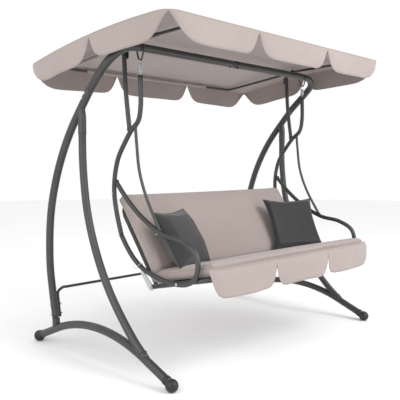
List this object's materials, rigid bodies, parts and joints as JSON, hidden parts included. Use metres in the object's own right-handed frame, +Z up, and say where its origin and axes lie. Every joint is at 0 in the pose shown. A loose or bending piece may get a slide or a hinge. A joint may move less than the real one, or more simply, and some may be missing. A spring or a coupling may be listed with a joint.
{
  "type": "canopy swing bench",
  "caption": "Garden swing bench with a curved tube stand, a seat hung on springs, folding backrest, cushions and a tilting fabric canopy.",
  "frame": {"origin": "on the ground, in the middle of the bench's box", "axes": "+Z up, +X to the sitter's left-hand end seen from the front right, -Y the way a sitter faces"},
  "size_m": [1.85, 1.277, 1.707],
  "materials": {
    "paint": "satin",
    "zinc": "satin",
    "black_plastic": "satin",
    "canopy_cloth": "matte",
    "cushion_cloth": "matte",
    "sling_cloth": "matte",
    "pillow_cloth": "matte"
  },
  "bodies": {
    "frame": {"base_bow_left": "paint", "base_bow_right": "paint", "leg_stub_left": "paint", "leg_stub_right": "paint", "rear_leg_left": "paint", "rear_leg_right": "paint", "front_leg_left": "paint", "front_leg_right": "paint", "top_beam_left": "paint", "top_beam_right": "paint", "spring_hook_left": "paint", "spring_hook_right": "paint", "crossbar_bolt_upper_left": "zinc", "crossbar_bolt_upper_right": "zinc", "crossbar_bolt_lower_left": "zinc", "crossbar_bolt_lower_right": "zinc", "foot_ball_front_left": "black_plastic", "foot_ball_front_right": "black_plastic", "foot_ball_rear_left": "black_plastic", "foot_ball_rear_right": "black_plastic", "beam_sleeve": "zinc", "rear_crossbar": "paint"},
    "seat": {"spring_left": "zinc", "spring_right": "zinc", "hanger_tube_left": "paint", "hanger_tube_right": "paint", "arm_loop_left": "paint", "arm_loop_right": "paint", "arm_strut_left": "paint", "arm_strut_right": "paint", "canopy_post_left": "paint", "canopy_post_right": "paint", "seat_rail_left": "paint", "seat_rail_right": "paint", "hinge_plate_left": "zinc", "hinge_plate_right": "zinc", "hinge_bolt_left": "zinc", "hinge_bolt_right": "zinc", "arm_bolt_left": "zinc", "arm_bolt_right": "zinc", "recline_clip_left": "zinc", "recline_clip_right": "zinc", "canopy_bracket_left": "paint", "canopy_bracket_right": "paint", "seat_front_bar": "paint", "seat_rear_bar": "paint", "seat_sling": "sling_cloth", "seat_cushion": "cushion_cloth", "seat_valance": "cushion_cloth"},
    "backrest": {"backrest_frame": "paint", "backrest_lower_bar": "paint", "backrest_sling": "sling_cloth", "back_cushion": "cushion_cloth", "pillow_left": "pillow_cloth", "pillow_right": "pillow_cloth"},
    "canopy": {"canopy_front_hoop": "paint", "canopy_rear_hoop": "paint", "canopy_cloth": "canopy_cloth", "canopy_knob_left": "black_plastic", "canopy_knob_right": "black_plastic"}
  },
  "joints": [
    {"name": "swing", "type": "hinge", "parent": "frame", "child": "seat", "pos_m": [0, -0.1285, 1.547], "axis": [-1, 0, 0], "range_deg": [-12, 12]},
    {"name": "backrest_recline", "type": "hinge", "parent": "seat", "child": "backrest", "pos_m": [0, -0.1885, 0.405], "axis": [-1, 0, 0], "range_deg": [0, 52]},
    {"name": "canopy_tilt", "type": "hinge", "parent": "seat", "child": "canopy", "pos_m": [0, -0.0575, 1.647], "axis": [1, 0, 0], "range_deg": [-8, 6]}
  ]
}
